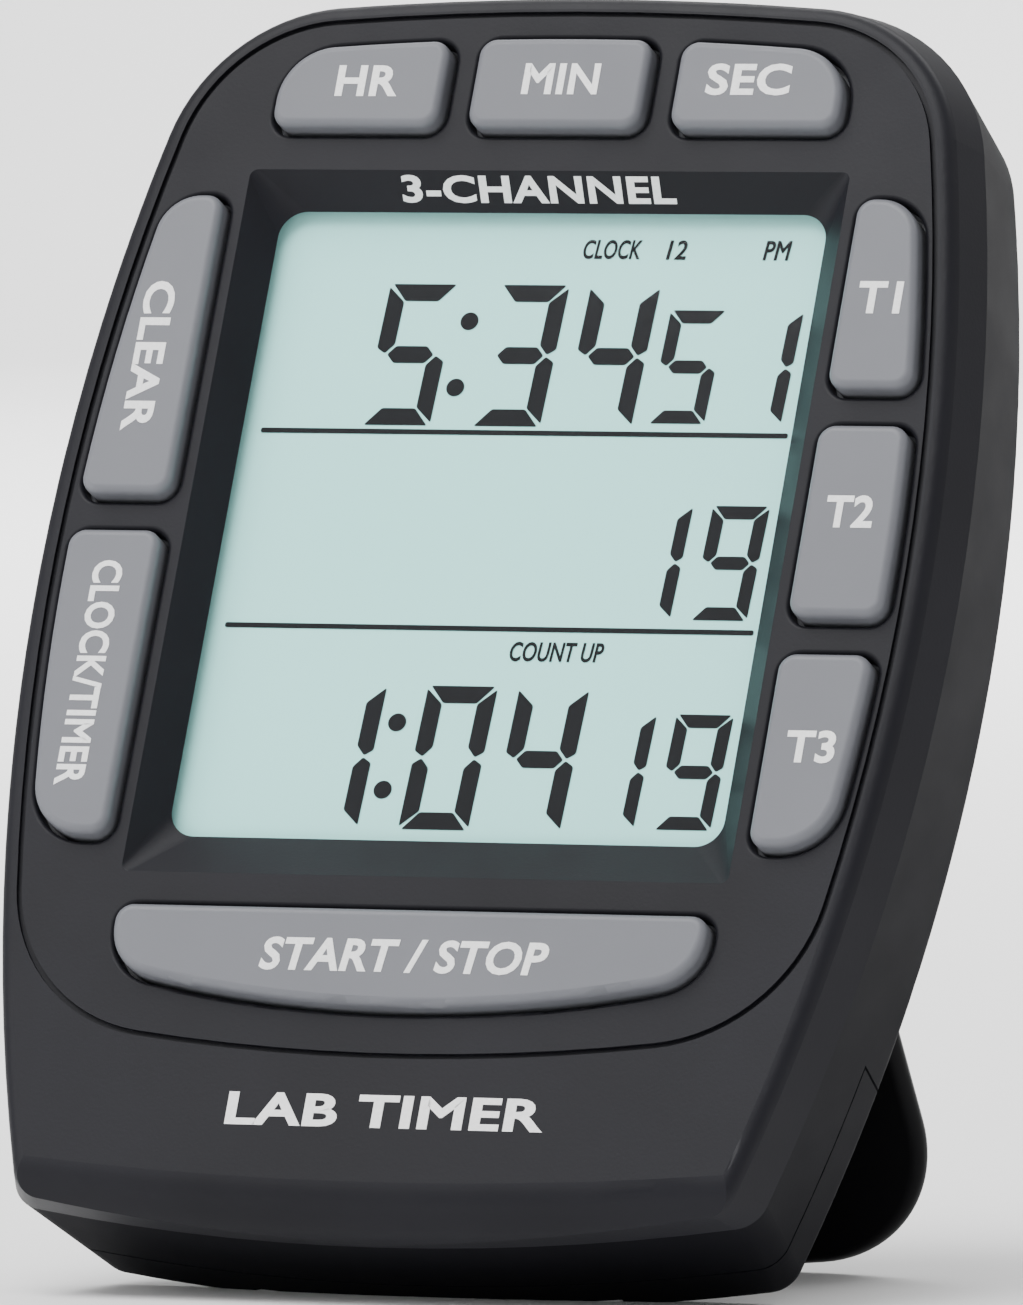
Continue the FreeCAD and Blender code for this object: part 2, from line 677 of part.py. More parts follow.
def latch_tab(grow):
    """Tab on the door's top edge that tucks under the back of the case."""
    half = LATCH_W / 2 + grow
    return box(-half, half, SKIN_Y - grow, SKIN_Y + LATCH_T + grow,
               DOOR_TOP - LATCH_REACH, DOOR_TOP + LATCH_REACH + grow)


def make_battery_door(shell):
    door = shell.common(door_zone(0.0))
    leg_x = BAY_HALF + BAY_WALL + RAIL_OUT + DOOR_GAP
    toe_x = BAY_HALF + BAY_WALL + DOOR_GAP
    z0 = RAIL_FOOT + DOOR_GAP
    z1 = BAY_TOP
    leg = box(leg_x, leg_x + HOOK_T, DOOR_Y, INNER_BACK + 0.5, z0, z1)
    toe = box(toe_x, leg_x + HOOK_T, DOOR_Y, RAIL_Y0 - DOOR_GAP, z0, z1)
    hooks = both_sides(leg) + both_sides(toe)
    return joined(door, hooks + [latch_tab(0.0)])


def magnet_places():
    return [(sign * MAGNET_X, CASE_H - MAGNET_DROP) for sign in (-1, 1)]


# ---------------------------------------------------------------- stand

def make_stand():
    """Stand with its hinge barrel, stub pins and stop heel, turned to its open stop."""
    leg = stand_blank(0.0, STAND_FRONT, STAND_BACK, HINGE_Z)
    foot_edges = [e for e in edges_at_depth(leg, STAND_BACK) + edges_at_depth(leg, STAND_FRONT)
                  if e.CenterOfMass.z < HINGE_Z - 1]
    leg = leg.makeFillet(FOOT_EDGE_R - 0.01, foot_edges)
    half = STAND_TOP_HALF
    barrel = Part.makeCylinder(BARREL_R, 2 * half, V(-half, HINGE_Y, HINGE_Z), ACROSS)
    reach = half + PIN_L
    pins = Part.makeCylinder(PIN_R, 2 * reach, V(-reach, HINGE_Y, HINGE_Z), ACROSS)
    heel = box(-half, half, STAND_BACK - HEEL_T, STAND_BACK, HINGE_Z, HINGE_Z + HEEL)
    stand = joined(leg, [barrel, pins, heel])
    stand.rotate(V(0, HINGE_Y, HINGE_Z), ACROSS, OPEN_ANGLE)
    return stand


# ---------------------------------------------------------------- display and board

def make_lens():
    x = GLASS_HALF_W
    z = GLASS_HALF_H
    blank = round_rect(0.0, -x, x, WINDOW_Z - z, WINDOW_Z + z, SMALL_CORNER_R)
    return slab(face_wire_at(blank, 0.0), LENS_T).translated(INWARD * LENS_Y)


def make_front_glass():
    return box(-GLASS_HALF_W, GLASS_HALF_W, GLASS_Y, GLASS_Y + GLASS_T,
               WINDOW_Z - GLASS_HALF_H, WINDOW_Z + GLASS_HALF_H + CONTACT_LEDGE)


def make_rear_glass():
    return box(-GLASS_HALF_W, GLASS_HALF_W, GLASS_Y + GLASS_T, REFLECTOR_Y,
               WINDOW_Z - GLASS_HALF_H, WINDOW_Z + GLASS_HALF_H)


def make_reflector():
    edge = 0.4
    return box(-GLASS_HALF_W + edge, GLASS_HALF_W - edge, REFLECTOR_Y, REFLECTOR_Y + REFLECTOR_T,
               WINDOW_Z - GLASS_HALF_H + edge, WINDOW_Z + GLASS_HALF_H - edge)


def zebra_room(grow):
    half = WINDOW_W / 2 - 1.0
    z1 = WINDOW_Z + GLASS_HALF_H + CONTACT_LEDGE - 0.2
    z0 = z1 - CONTACT_LEDGE + 0.4
    y0 = GLASS_Y + GLASS_T
    return box(-half - grow, half + grow, y0, BOARD_Y, z0 - grow, z1 + grow)


def make_lcd_holder():
    rim = 1.7
    x = GLASS_HALF_W
    z0 = WINDOW_Z - GLASS_HALF_H
    z1 = WINDOW_Z + GLASS_HALF_H
    frame = box(-x, x, HOLDER_Y, BOARD_Y, z0, z1 + CONTACT_LEDGE)
    middle = box(-x + rim, x - rim, HOLDER_Y - 1, BOARD_Y + 1, z0 + rim, z1 - rim)
    bar = box(-x + rim, x - rim, HOLDER_Y - 1, BOARD_Y + 1, WINDOW_Z - rim / 2, WINDOW_Z + rim / 2)
    return frame.cut([middle.cut(bar), zebra_room(STACK_GAP)])


def make_board():
    board = plate(BOARD_Y, BOARD_BACK, BOARD_IN)
    cuts = [box(-CASE_W, CASE_W, 0, CASE_D, -1, BOARD_FOOT)]
    cuts += around_bosses()
    cuts += [rod(BOARD_SCREW_R + SCREW_FIT, 0, CASE_D, x, z) for x, z in BOARD_SCREWS]
    return board.cut(cuts)


def make_keypad():
    """Rubber mat in one piece, with a hollow dome under every key post."""
    y1 = MAT_Y + MAT_T
    mat = plate(MAT_Y, y1, BOARD_IN + STACK_GAP)
    room = 0.6
    x = GLASS_HALF_W + room
    inside = box(-x, x, 0, CASE_D, window_edge("bottom") - START_GAP / 2,
                 WINDOW_Z + GLASS_HALF_H + CONTACT_LEDGE + room)
    cuts = [box(-CASE_W, CASE_W, 0, CASE_D, -1, BOARD_FOOT), inside] + around_bosses()
    cuts += [rod(BOARD_BOSS_R + BOSS_CLEAR, 0, CASE_D, px, pz) for px, pz in BOARD_SCREWS]
    mat = mat.cut(cuts)
    domes = [Part.makeCone(DOME_BASE_R, DOME_TOP_R, DOME_H, V(px, MAT_Y, pz), OUTWARD)
             for px, pz in ALL_POSTS]
    mat = joined(mat, domes)
    base = DOME_BASE_R - DOME_WALL
    hollow_h = y1 - DOME_Y - DOME_ROOF_T
    hollows = [Part.makeCone(base, DOME_TOP_R - DOME_WALL, hollow_h, V(px, y1, pz), OUTWARD)
               for px, pz in ALL_POSTS]
    return mat.cut(hollows)


def make_chip():
    """Drop of black resin over the bare chip, on the back of the board."""
    base_r = 8.0
    height = 1.3
    ball_r = (base_r ** 2 + height ** 2) / (2 * height)
    ball = Part.makeSphere(ball_r, V(0, BOARD_BACK + height - ball_r, WINDOW_Z))
    return ball.common(rod(base_r, BOARD_BACK, BOARD_BACK + height, 0, WINDOW_Z))


def make_crystal():
    can = Part.makeCylinder(1.0, 6.0, V(13.0, BOARD_BACK + 1.0, WINDOW_Z + 4.0), ACROSS)
    return can.makeFillet(0.3, [e for e in can.Edges if e.Length > 6.1])


def make_board_parts():
    """Two rows of small resistors and capacitors beside the chip."""
    parts = []
    for row_x in (-15.0, -19.0):
        for index in range(4):
            z = WINDOW_Z - 9.0 + 5.0 * index
            parts.append(box(row_x, row_x + 2.0, BOARD_BACK, BOARD_BACK + 0.6, z, z + 1.2))
    return Part.makeCompound(parts)


# ---------------------------------------------------------------- battery, buzzer and leads

def make_cell():
    """Cylindrical cell across the case, with its raised end to the right."""
    x0 = CELL_X1 - CELL_L
    can = Part.makeCylinder(CELL_R, CELL_L - NUB_L, V(x0, CELL_Y, CELL_Z), ACROSS)
    can = can.makeFillet(0.5, [e for e in can.Edges if e.Length > 6 * CELL_R and e.isClosed()])
    nub = Part.makeCylinder(NUB_R, NUB_L + 0.5, V(CELL_X1 - NUB_L - 0.5, CELL_Y, CELL_Z), ACROSS)
    return joined(can, [nub])


def contact_plate():
    """Sheet contact at the right end of the bay, with its tab through the roof."""
    x0 = BAY_HALF - CONTACT_T - STACK_GAP / 2
    x1 = BAY_HALF - STACK_GAP / 2
    half = CELL_R - 1.5
    face = box(x0, x1, CELL_Y - half, CELL_Y + half, CELL_Z - half, CELL_Z + half)
    tab = box(x0, x1, CELL_Y - TAB_W / 2, CELL_Y + TAB_W / 2, CELL_Z, BOARD_FOOT - TAB_GAP)
    return joined(face, [tab])


def make_spring_contact():
    """The same sheet contact at the left end, with a coil spring on it."""
    sheet = contact_plate().mirror(V(0, 0, 0), ACROSS)
    height = SPRING_L - 2 * SPRING_WIRE_R
    helix = Part.makeHelix(height / SPRING_TURNS, height, SPRING_R)
    wire = Part.Wire(helix.Edges)
    ring = Part.Wire(Part.makeCircle(SPRING_WIRE_R, V(SPRING_R, 0, 0), V(0, 1, 0)))
    coil = wire.makePipeShell([ring], True, True)
    coil.rotate(V(0, 0, 0), V(0, 1, 0), 90)
    start = -BAY_HALF + CONTACT_T + STACK_GAP / 2 + SPRING_WIRE_R * 0.9
    coil.translate(V(start, CELL_Y, CELL_Z))
    return joined(sheet, [coil])


def piezo_y():
    return INNER_BACK - PIEZO_RING_H - STACK_GAP


def make_lead(points):
    """Round lead along straight runs joined by arcs as large as the runs allow."""
    share = 0.45
    edges = []
    last = points[0]
    for before, corner, after in zip(points, points[1:], points[2:]):
        way_in = corner - before
        way_out = after - corner
        cut = share * min(way_in.Length, way_out.Length)
        start = corner - way_in.normalize() * cut
        end = corner + way_out.normalize() * cut
        half_turn = (way_out + way_in * -1.0).Length / 2
        radius = cut * math.sqrt(1 - half_turn ** 2) / half_turn
        to_centre = (way_out - way_in).normalize() * (radius / math.sqrt(1 - half_turn ** 2))
        centre = corner + to_centre
        middle = centre - to_centre.normalize() * radius
        edges.append(Part.LineSegment(last, start).toShape())
        edges.append(Part.Arc(start, middle, end).toShape())
        last = end
    edges.append(Part.LineSegment(last, points[-1]).toShape())
    path = Part.Wire(edges)
    ring = Part.Wire(Part.makeCircle(LEAD_R, points[0], points[1] - points[0]))
    return path.makePipeShell([ring], True, False)


def battery_lead(sign):
    """From a contact's tab to the back of the board."""
    x = BAY_HALF - CONTACT_T / 2 - STACK_GAP / 2
    tab_back = CELL_Y + TAB_W / 2
    z = BOARD_FOOT - TAB_GAP - LEAD_R
    far_y = tab_back + 2.6
    board_x = x - 2.0
    board_z = z + 4.5
    return make_lead([V(sign * x, tab_back, z), V(sign * x, far_y, z),
                      V(sign * board_x, far_y, board_z), V(sign * board_x, BOARD_BACK, board_z)])


def buzzer_lead(start_x, end_x):
    """From the buzzer to the back of the board."""
    z = PIEZO_Z
    y = piezo_y() - 2 * PIEZO_T
    middle_y = (y + BOARD_BACK) / 2
    return make_lead([V(start_x, y, z - 2.0), V(start_x, middle_y, z - 2.0),
                      V(end_x, middle_y, z - 11.0), V(end_x, BOARD_BACK, z - 11.0)])


# ---------------------------------------------------------------- the whole timer

def make_nodes():
    shell = rear_shell()
    brass_y = piezo_y()
    nodes = {
        "front_case": make_front_case(),
        "rear_case": make_rear_case(shell),
        "battery_door": make_battery_door(shell),
        "stand": make_stand(),
        "window_lens": make_lens(),
        "lcd_front_glass": make_front_glass(),
        "lcd_rear_glass": make_rear_glass(),
        "lcd_reflector": make_reflector(),
        "lcd_holder": make_lcd_holder(),
        "lcd_contact_strip": zebra_room(0.0),
        "circuit_board": make_board(),
        "chip_resin": make_chip(),
        "crystal": make_crystal(),
        "board_parts": make_board_parts(),
        "keypad_mat": make_keypad(),
        "battery_cell": make_cell(),
        "positive_contact": contact_plate(),
        "spring_contact": make_spring_contact(),
        "battery_lead_red": battery_lead(1),
        "battery_lead_black": battery_lead(-1),
        "buzzer_plate": rod(PIEZO_R, brass_y - PIEZO_T, brass_y, 0, PIEZO_Z),
        "buzzer_ceramic": rod(CERAMIC_R, brass_y - 2 * PIEZO_T, brass_y - PIEZO_T, 0, PIEZO_Z),
        "buzzer_lead_red": buzzer_lead(3.0, 12.0),
        "buzzer_lead_black": buzzer_lead(-3.0, -12.0),
        "magnets": Part.makeCompound([
            rod(MAGNET_R, CASE_D - MAGNET_T, CASE_D, x, z) for x, z in magnet_places()]),
        "case_screws": Part.makeCompound([
            screw(x, z, CASE_D - HEAD_SINK, CASE_HEAD_R, CASE_HEAD_T, CASE_SCREW_R, SCREW_FRONT_Y)
            for x, z in CASE_SCREWS]),
        "board_screws": Part.makeCompound([
            screw(x, z, BOARD_BACK, BOARD_HEAD_R, BOARD_HEAD_T, BOARD_SCREW_R,
                  BOARD_BACK - BOARD_SCREW_L)
            for x, z in BOARD_SCREWS]),
    }
    for key in KEYS:
        nodes[key[0]] = make_key(key)
        nodes[key[0].replace("key_", "pill_")] = make_pills(key)
    return nodes


def place(nodes):
    """Lean the pieces back and move the middle of the box's bottom to the origin."""
    for shape in nodes.values():
        shape.rotate(V(0, 0, 0), ACROSS, -LEAN)
    extent = Part.makeCompound(list(nodes.values())).optimalBoundingBox(False, False)
    shift = V(0, -(extent.YMin + extent.YMax) / 2, -TABLE)
    for shape in nodes.values():
        shape.translate(shift)
    return shift


def placed_point(point, shift):
    """Where place() takes a point of the working frame."""
    turned = FreeCAD.Rotation(ACROSS, -LEAN).multVec(point)
    return turned + shift


NODES = make_nodes()
SHIFT = place(NODES)

if __name__ == "__main__":
    os.makedirs("parts", exist_ok=True)
    for name, shape in NODES.items():
        shape.exportStep("parts/" + name + ".step")
        print(name, "solids", len(shape.Solids), "volume", round(shape.Volume, 2),
              "valid", shape.isValid())
    print("hinge axis at", placed_point(V(0, HINGE_Y, HINGE_Z), SHIFT), "open angle", OPEN_ANGLE)
    print("foot of the folded stand at", round(foot_z(), 2))
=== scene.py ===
import bpy
import bmesh
import json
import math
from mathutils import Matrix, Vector


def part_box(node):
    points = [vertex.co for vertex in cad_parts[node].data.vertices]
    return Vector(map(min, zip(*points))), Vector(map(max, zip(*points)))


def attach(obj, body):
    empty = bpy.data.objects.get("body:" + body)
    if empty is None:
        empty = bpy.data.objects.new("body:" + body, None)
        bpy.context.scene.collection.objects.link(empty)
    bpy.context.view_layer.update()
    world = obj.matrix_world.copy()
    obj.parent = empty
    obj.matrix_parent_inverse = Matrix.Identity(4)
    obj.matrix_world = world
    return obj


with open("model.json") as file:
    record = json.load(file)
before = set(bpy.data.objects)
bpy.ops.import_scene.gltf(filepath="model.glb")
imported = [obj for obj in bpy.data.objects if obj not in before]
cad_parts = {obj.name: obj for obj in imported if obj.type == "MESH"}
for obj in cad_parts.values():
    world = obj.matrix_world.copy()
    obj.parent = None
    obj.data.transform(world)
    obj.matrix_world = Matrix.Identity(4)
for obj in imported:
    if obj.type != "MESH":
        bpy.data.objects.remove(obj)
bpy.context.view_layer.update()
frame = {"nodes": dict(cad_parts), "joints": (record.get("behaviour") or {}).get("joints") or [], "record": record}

MM = 0.001
nodes = frame["nodes"]

# The leaning case's own directions, read from the way the keys press.
ACROSS = Vector((1, 0, 0))
INWARD = Vector(next(j["axis"] for j in frame["joints"] if j["name"] == "key_t1_press")).normalized()
UP_FACE = ACROSS.cross(INWARD).normalized()
OUTWARD = -INWARD


def depth_of(node, pick=min):
    """Depth of a node's front (or, with max, its back) along the way the keys press."""
    return pick(v.co.dot(INWARD) for v in nodes[node].data.vertices)


def middle_of(node):
    low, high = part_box(node)
    return (low + high) / 2


window_middle = middle_of("window_lens")
face_depth = depth_of("front_case")
FACE_MIDDLE = window_middle + INWARD * (face_depth - window_middle.dot(INWARD))
KEY_TOP = depth_of("key_t1") - face_depth
GLASS_FRONT = depth_of("lcd_front_glass") - face_depth
LENS_FRONT = depth_of("window_lens") - face_depth


def on_face(x, up, depth=0.0):
    """Point across and up from the middle of the window, in mm, at a depth in metres."""
    return FACE_MIDDLE + ACROSS * x * MM + UP_FACE * up * MM + INWARD * depth


def face_frame(x, up, depth, turn=0.0, tip=0.0):
    """Frame that lays flat work on the face: turned in its plane, tipped about its width."""
    axes = Matrix((ACROSS, UP_FACE, OUTWARD)).transposed().to_4x4()
    return (Matrix.Translation(on_face(x, up, depth)) @ axes
            @ Matrix.Rotation(turn, 4, "Z") @ Matrix.Rotation(tip, 4, "X"))


# ---------------------------------------------------------------- finishes

def new_finish(name):
    finish = bpy.data.materials.new(name)
    finish.use_nodes = True
    shader = finish.node_tree.nodes["Principled BSDF"]
    return finish, finish.node_tree, shader


def object_noise(tree, scale, detail=2.0, stretch=(1, 1, 1)):
    """Noise on Object coordinates, with its own Mapping."""
    place = tree.nodes.new("ShaderNodeTexCoord")
    mapping = tree.nodes.new("ShaderNodeMapping")
    mapping.inputs["Scale"].default_value = stretch
    noise = tree.nodes.new("ShaderNodeTexNoise")
    noise.inputs["Scale"].default_value = scale
    noise.inputs["Detail"].default_value = detail
    tree.links.new(place.outputs["Object"], mapping.inputs["Vector"])
    tree.links.new(mapping.outputs["Vector"], noise.inputs["Vector"])
    return noise.outputs["Fac"]


def between(tree, factor, low, high):
    """Number that runs from low to high as a noise value runs over its middle range."""
    span = tree.nodes.new("ShaderNodeMapRange")
    span.inputs["From Min"].default_value = 0.3
    span.inputs["From Max"].default_value = 0.7
    span.inputs["To Min"].default_value = low
    span.inputs["To Max"].default_value = high
    tree.links.new(factor, span.inputs["Value"])
    return span.outputs["Result"]


def two_tones(tree, factor, first, second):
    ramp = tree.nodes.new("ShaderNodeValToRGB")
    ramp.color_ramp.elements[0].position = 0.35
    ramp.color_ramp.elements[1].position = 0.65
    ramp.color_ramp.elements[0].color = (*first, 1)
    ramp.color_ramp.elements[1].color = (*second, 1)
    tree.links.new(factor, ramp.inputs["Fac"])
    return ramp.outputs["Color"]


def raise_grain(tree, shader, height, strength, distance):
    bump = tree.nodes.new("ShaderNodeBump")
    bump.inputs["Strength"].default_value = strength
    bump.inputs["Distance"].default_value = distance
    tree.links.new(height, bump.inputs["Height"])
    tree.links.new(bump.outputs["Normal"], shader.inputs["Normal"])


def shade(colour, by):
    return tuple(c * by for c in colour)


def moulded(name, colour, rough, grain_mm, grain_depth_mm, cloud=0.06, shine=0.32):
    """Moulded plastic: fine spark grain, faint clouding of colour, handled sheen."""
    finish, tree, shader = new_finish(name)
    clouding = object_noise(tree, 60.0, 3.0)
    tones = two_tones(tree, clouding, shade(colour, 1 - cloud), shade(colour, 1 + cloud))
    tree.links.new(tones, shader.inputs["Base Color"])
    smears = object_noise(tree, 180.0, 4.0, (1, 0.5, 1))
    tree.links.new(between(tree, smears, rough - 0.03, rough + 0.03), shader.inputs["Roughness"])
    grain = object_noise(tree, 1 / (grain_mm * MM), 2.0)
    raise_grain(tree, shader, grain, 0.35, grain_depth_mm * MM)
    shader.inputs["Specular IOR Level"].default_value = shine
    return finish


def metal(name, colour, rough, streak=(1, 1, 12)):
    """Plated or rolled metal with fine drawn streaks."""
    finish, tree, shader = new_finish(name)
    streaks = object_noise(tree, 2500.0, 2.0, streak)
    tones = two_tones(tree, streaks, shade(colour, 0.86), shade(colour, 1.1))
    tree.links.new(tones, shader.inputs["Base Color"])
    tree.links.new(between(tree, streaks, rough * 0.8, rough * 1.3), shader.inputs["Roughness"])
    shader.inputs["Metallic"].default_value = 1.0
    return finish


def clear_sheet(name, tint, opacity, rough):
    """Thin clear sheet that lets the display show through."""
    finish, tree, shader = new_finish(name)
    haze = object_noise(tree, 90.0, 3.0)
    tree.links.new(between(tree, haze, rough * 0.6, rough * 1.5), shader.inputs["Roughness"])
    shader.inputs["Base Color"].default_value = (*tint, 1)
    shader.inputs["Alpha"].default_value = opacity
    return finish


def display_glass():
    """Front of the display: pale green-grey film with a very fine satin grain."""
    finish, tree, shader = new_finish("display_film")
    wash = object_noise(tree, 25.0, 2.0)
    tones = two_tones(tree, wash, (0.46, 0.99, 0.93), (0.48, 1.0, 0.95))
    tree.links.new(tones, shader.inputs["Base Color"])
    grain = object_noise(tree, 9000.0, 1.0)
    raise_grain(tree, shader, grain, 0.1, 0.004 * MM)
    shader.inputs["Roughness"].default_value = 0.5
    shader.inputs["Specular IOR Level"].default_value = 0.25
    return finish


def printed_ink(name, colour, rough):
    """Pad-printed ink: slightly uneven cover."""
    finish, tree, shader = new_finish(name)
    cover = object_noise(tree, 3500.0, 2.0)
    tones = two_tones(tree, cover, shade(colour, 0.93), colour)
    tree.links.new(tones, shader.inputs["Base Color"])
    shader.inputs["Roughness"].default_value = rough
    shader.inputs["Specular IOR Level"].default_value = 0.15
    return finish


def board_finish():
    """Green solder mask over faint copper tracks."""
    finish, tree, shader = new_finish("solder_mask")
    place = tree.nodes.new("ShaderNodeTexCoord")
    tracks = tree.nodes.new("ShaderNodeTexBrick")
    tracks.inputs["Scale"].default_value = 260.0
    tracks.inputs["Mortar Size"].default_value = 0.03
    tracks.inputs["Color1"].default_value = (0.012, 0.12, 0.045, 1)
    tracks.inputs["Color2"].default_value = (0.015, 0.14, 0.05, 1)
    tracks.inputs["Mortar"].default_value = (0.05, 0.26, 0.1, 1)
    tree.links.new(place.outputs["Object"], tracks.inputs["Vector"])
    tree.links.new(tracks.outputs["Color"], shader.inputs["Base Color"])
    shader.inputs["Roughness"].default_value = 0.35
    return finish


def striped_rubber():
    """Contact strip: thin dark bands across pale rubber."""
    finish, tree, shader = new_finish("striped_rubber")
    place = tree.nodes.new("ShaderNodeTexCoord")
    bands = tree.nodes.new("ShaderNodeTexWave")
    bands.inputs["Scale"].default_value = 900.0
    tree.links.new(place.outputs["Object"], bands.inputs["Vector"])
    tones = two_tones(tree, bands.outputs["Fac"], (0.02, 0.02, 0.02), (0.55, 0.4, 0.42))
    tree.links.new(tones, shader.inputs["Base Color"])
    shader.inputs["Roughness"].default_value = 0.6
    return finish


def cell_sleeve():
    """Battery sleeve: black body with a copper-coloured band at its raised end."""
    finish, tree, shader = new_finish("cell_sleeve")
    place = tree.nodes.new("ShaderNodeTexCoord")
    split = tree.nodes.new("ShaderNodeSeparateXYZ")
    tree.links.new(place.outputs["Object"], split.inputs["Vector"])
    ramp = tree.nodes.new("ShaderNodeValToRGB")
    low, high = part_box("battery_cell")
    reach = tree.nodes.new("ShaderNodeMapRange")
    reach.inputs["From Min"].default_value = low.x
    reach.inputs["From Max"].default_value = high.x
    tree.links.new(split.outputs["X"], reach.inputs["Value"])
    ramp.color_ramp.interpolation = "CONSTANT"
    ramp.color_ramp.elements[0].color = (0.012, 0.012, 0.014, 1)
    ramp.color_ramp.elements[1].position = 0.7
    ramp.color_ramp.elements[1].color = (0.5, 0.22, 0.06, 1)
    end = ramp.color_ramp.elements.new(0.975)
    end.color = (0.6, 0.6, 0.58, 1)
    tree.links.new(reach.outputs["Result"], ramp.inputs["Fac"])
    tree.links.new(ramp.outputs["Color"], shader.inputs["Base Color"])
    shader.inputs["Roughness"].default_value = 0.28
    shader.inputs["Metallic"].default_value = 0.3
    return finish


CHARCOAL = (0.0088, 0.0088, 0.0118)
REAR_CHARCOAL = (0.0040, 0.0040, 0.0058)
STAND_BLACK = (0.0022, 0.0022, 0.0030)
KEY_GREY = (0.138, 0.142, 0.158)

FINISHES = {
    "case_front_plastic": moulded("charcoal_front", CHARCOAL, 0.46, 0.22, 0.02, 0.12, 0.16),
    "case_rear_plastic": moulded("charcoal_rear", REAR_CHARCOAL, 0.70, 0.22, 0.02, 0.06, 0.07),
    "stand_plastic": moulded("black_stand", STAND_BLACK, 0.45, 0.3, 0.015, shine=0.10),
    "key_plastic": moulded("grey_key_cap", KEY_GREY, 0.42, 0.16, 0.01, 0.03),
    "clear_window": clear_sheet("clear_window", (0.02, 0.02, 0.02), 0.03, 0.08),
    "lcd_glass": display_glass(),
    "lcd_reflector": printed_ink("reflector_film", (0.58, 0.7, 0.66), 0.6),
    "white_plastic": moulded("white_holder", (0.7, 0.7, 0.68), 0.5, 0.3, 0.01),
    "contact_rubber": striped_rubber(),
    "board_laminate": board_finish(),
    "black_resin": moulded("chip_resin", (0.006, 0.006, 0.006), 0.22, 1.5, 0.05),
    "plated_steel": metal("nickel_plate", (0.62, 0.61, 0.58), 0.25),
    "ceramic_chip": printed_ink("ceramic_chip", (0.32, 0.24, 0.16), 0.5),
    "keypad_rubber": moulded("keypad_rubber", (0.20, 0.21, 0.22), 0.7, 0.4, 0.01),
    "carbon_rubber": moulded("carbon_pill", (0.006, 0.006, 0.006), 0.6, 0.3, 0.01),
    "cell_jacket": cell_sleeve(),
    "red_insulation": moulded("red_lead", (0.5, 0.02, 0.015), 0.35, 0.8, 0.01),
    "black_insulation": moulded("black_lead", (0.01, 0.01, 0.01), 0.35, 0.8, 0.01),
    "brass": metal("rolled_brass", (0.75, 0.52, 0.2), 0.3, (1, 1, 8)),
    "buzzer_ceramic": printed_ink("silvered_ceramic", (0.6, 0.58, 0.52), 0.4),
    "plated_magnet": metal("plated_magnet", (0.42, 0.42, 0.43), 0.22, (1, 1, 1)),
}
LEGEND_WHITE = printed_ink("legend_white", (0.93, 0.93, 0.93), 0.5)
SEGMENT_BLACK = printed_ink("segment_black", (0.006, 0.007, 0.009), 0.6)


def dress_cad_nodes():
    """Give each node the finish its slot asks for."""
    for part in frame["record"]["subparts"]:
        mesh = nodes[part["node"]].data
        mesh.materials.clear()
        mesh.materials.append(FINISHES[part["material_slot"]])


# ---------------------------------------------------------------- making pieces

def add_piece(name, mesh, finish, body):
    piece = bpy.data.objects.new(name, mesh)
    bpy.context.scene.collection.objects.link(piece)
    mesh.materials.clear()
    mesh.materials.append(finish)
    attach(piece, body)
    return piece


def tidy(form):
    bmesh.ops.remove_doubles(form, verts=form.verts, dist=1e-7)
    bmesh.ops.recalc_face_normals(form, faces=form.faces)


def fatten(form, by):
    """Move the rim of flat letters outwards, with the longest corners held back."""
    outward = {}
    for edge in form.edges:
        if len(edge.link_faces) != 1:
            continue
        along = (edge.verts[1].co - edge.verts[0].co).normalized()
        side = Vector((along.y, -along.x, 0))
        inner = edge.link_faces[0].calc_center_median() - edge.verts[0].co
        if side.dot(inner) > 0:
            side = -side
        for vert in edge.verts:
            outward.setdefault(vert, []).append(side)
    for vert, sides in outward.items():
        step = sum(sides, Vector())
        spread = max(1 + sides[0].dot(sides[-1]), 0.4)
        vert.co += step * (by / spread if len(sides) == 2 else by / len(sides))


def letters_mesh(words, height, width, weight, slant, thick):
    """Words as a thin closed mesh, centred, of the given capital height and width in mm."""
    curve = bpy.data.curves.new("words", "FONT")
    curve.body = words
    curve.size = 1.0
    curve.shear = slant
    curve.space_character = 1.0 + weight * 1.6
    curve.resolution_u = 4
    shape = bpy.data.objects.new("words", curve)
    bpy.context.scene.collection.objects.link(shape)
    graph = bpy.context.evaluated_depsgraph_get()
    mesh = bpy.data.meshes.new_from_object(shape.evaluated_get(graph))
    bpy.data.objects.remove(shape)
    form = bmesh.new()
    form.from_mesh(mesh)
    bmesh.ops.remove_doubles(form, verts=form.verts, dist=1e-5)
    fatten(form, weight)
    xs = [v.co.x for v in form.verts]
    ys = [v.co.y for v in form.verts]
    stretch_y = height * MM / (max(ys) - min(ys))
    stretch_x = width * MM / (max(xs) - min(xs))
    centre = Vector(((max(xs) + min(xs)) / 2, (max(ys) + min(ys)) / 2, 0))
    bmesh.ops.transform(form, verts=form.verts, matrix=Matrix.Diagonal((stretch_x, stretch_y, 1, 1))
                        @ Matrix.Translation(-centre))
    bmesh.ops.recalc_face_normals(form, faces=form.faces)
    grown = bmesh.ops.extrude_face_region(form, geom=form.faces[:])
    raised = [g for g in grown["geom"] if isinstance(g, bmesh.types.BMVert)]
    bmesh.ops.translate(form, verts=raised, vec=Vector((0, 0, thick)))
    tidy(form)
    form.to_mesh(mesh)
    form.free()
    return mesh


LETTER_T = 0.04 * MM


def lettering(name, words, height, width, lay, body, finish=LEGEND_WHITE,
              weight=0.030, slant=0.0, thick=LETTER_T):
    mesh = letters_mesh(words, height, width, weight, slant, thick)
    mesh.transform(lay)
    return add_piece(name, mesh, finish, body)


# ---------------------------------------------------------------- legends

LEGEND_SUNK = 0.01 * MM
READ_DOWN = -math.pi / 2
